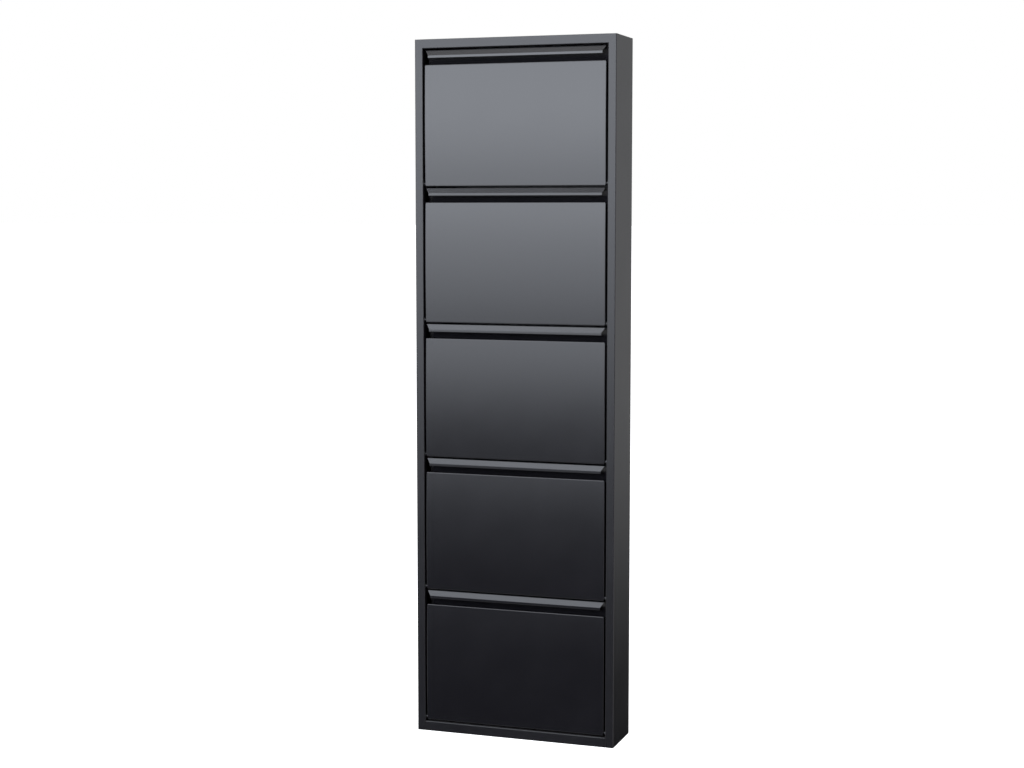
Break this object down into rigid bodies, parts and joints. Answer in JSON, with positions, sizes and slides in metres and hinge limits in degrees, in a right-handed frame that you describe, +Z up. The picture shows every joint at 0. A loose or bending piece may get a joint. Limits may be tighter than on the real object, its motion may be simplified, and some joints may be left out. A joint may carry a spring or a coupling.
{
  "type": "shoe cabinet",
  "caption": "Tall slim sheet-steel shoe cabinet with tilt-out flaps, each with a recessed finger groove and a shoe tray behind it.",
  "frame": {"origin": "centre of the underside, on the floor", "axes": "+Z up the cabinet's height, -Y out of its front, +X to a viewer's right"},
  "size_m": [0.5, 0.14, 1.68],
  "materials": {
    "carcass_coat": "satin powder coat",
    "powder_coat": "satin powder coat",
    "zinc_steel": "zinc plated",
    "nylon": "matt",
    "rubber": "matt"
  },
  "bodies": {
    "cabinet": {"side_panel_left": "carcass_coat", "side_panel_right": "carcass_coat", "top_panel": "carcass_coat", "bottom_panel": "carcass_coat", "back_panel": "carcass_coat", "hinge_bush_1_left": "nylon", "hinge_bush_1_right": "nylon", "hinge_bush_2_left": "nylon", "hinge_bush_2_right": "nylon", "hinge_bush_3_left": "nylon", "hinge_bush_3_right": "nylon", "hinge_bush_4_left": "nylon", "hinge_bush_4_right": "nylon", "hinge_bush_5_left": "nylon", "hinge_bush_5_right": "nylon"},
    "flap_1": {"flap_1_front": "powder_coat", "flap_1_tray": "powder_coat", "flap_1_cheek_left": "powder_coat", "flap_1_pin_left": "zinc_steel", "flap_1_buffer_left": "rubber", "flap_1_cheek_right": "powder_coat", "flap_1_pin_right": "zinc_steel", "flap_1_buffer_right": "rubber"},
    "flap_2": {"flap_2_front": "powder_coat", "flap_2_tray": "powder_coat", "flap_2_cheek_left": "powder_coat", "flap_2_pin_left": "zinc_steel", "flap_2_buffer_left": "rubber", "flap_2_cheek_right": "powder_coat", "flap_2_pin_right": "zinc_steel", "flap_2_buffer_right": "rubber"},
    "flap_3": {"flap_3_front": "powder_coat", "flap_3_tray": "powder_coat", "flap_3_cheek_left": "powder_coat", "flap_3_pin_left": "zinc_steel", "flap_3_buffer_left": "rubber", "flap_3_cheek_right": "powder_coat", "flap_3_pin_right": "zinc_steel", "flap_3_buffer_right": "rubber"},
    "flap_4": {"flap_4_front": "powder_coat", "flap_4_tray": "powder_coat", "flap_4_cheek_left": "powder_coat", "flap_4_pin_left": "zinc_steel", "flap_4_buffer_left": "rubber", "flap_4_cheek_right": "powder_coat", "flap_4_pin_right": "zinc_steel", "flap_4_buffer_right": "rubber"},
    "flap_5": {"flap_5_front": "powder_coat", "flap_5_tray": "powder_coat", "flap_5_cheek_left": "powder_coat", "flap_5_pin_left": "zinc_steel", "flap_5_buffer_left": "rubber", "flap_5_cheek_right": "powder_coat", "flap_5_pin_right": "zinc_steel", "flap_5_buffer_right": "rubber"}
  },
  "joints": [
    {"name": "flap_1_tilt", "type": "hinge", "parent": "cabinet", "child": "flap_1", "pos_m": [0, -0.062, 1.338], "axis": [1, 0, 0], "range_deg": [0, 30]},
    {"name": "flap_2_tilt", "type": "hinge", "parent": "cabinet", "child": "flap_2", "pos_m": [0, -0.062, 1.012], "axis": [1, 0, 0], "range_deg": [0, 30]},
    {"name": "flap_3_tilt", "type": "hinge", "parent": "cabinet", "child": "flap_3", "pos_m": [0, -0.062, 0.686], "axis": [1, 0, 0], "range_deg": [0, 30]},
    {"name": "flap_4_tilt", "type": "hinge", "parent": "cabinet", "child": "flap_4", "pos_m": [0, -0.062, 0.36], "axis": [1, 0, 0], "range_deg": [0, 30]},
    {"name": "flap_5_tilt", "type": "hinge", "parent": "cabinet", "child": "flap_5", "pos_m": [0, -0.062, 0.034], "axis": [1, 0, 0], "range_deg": [0, 30]}
  ]
}
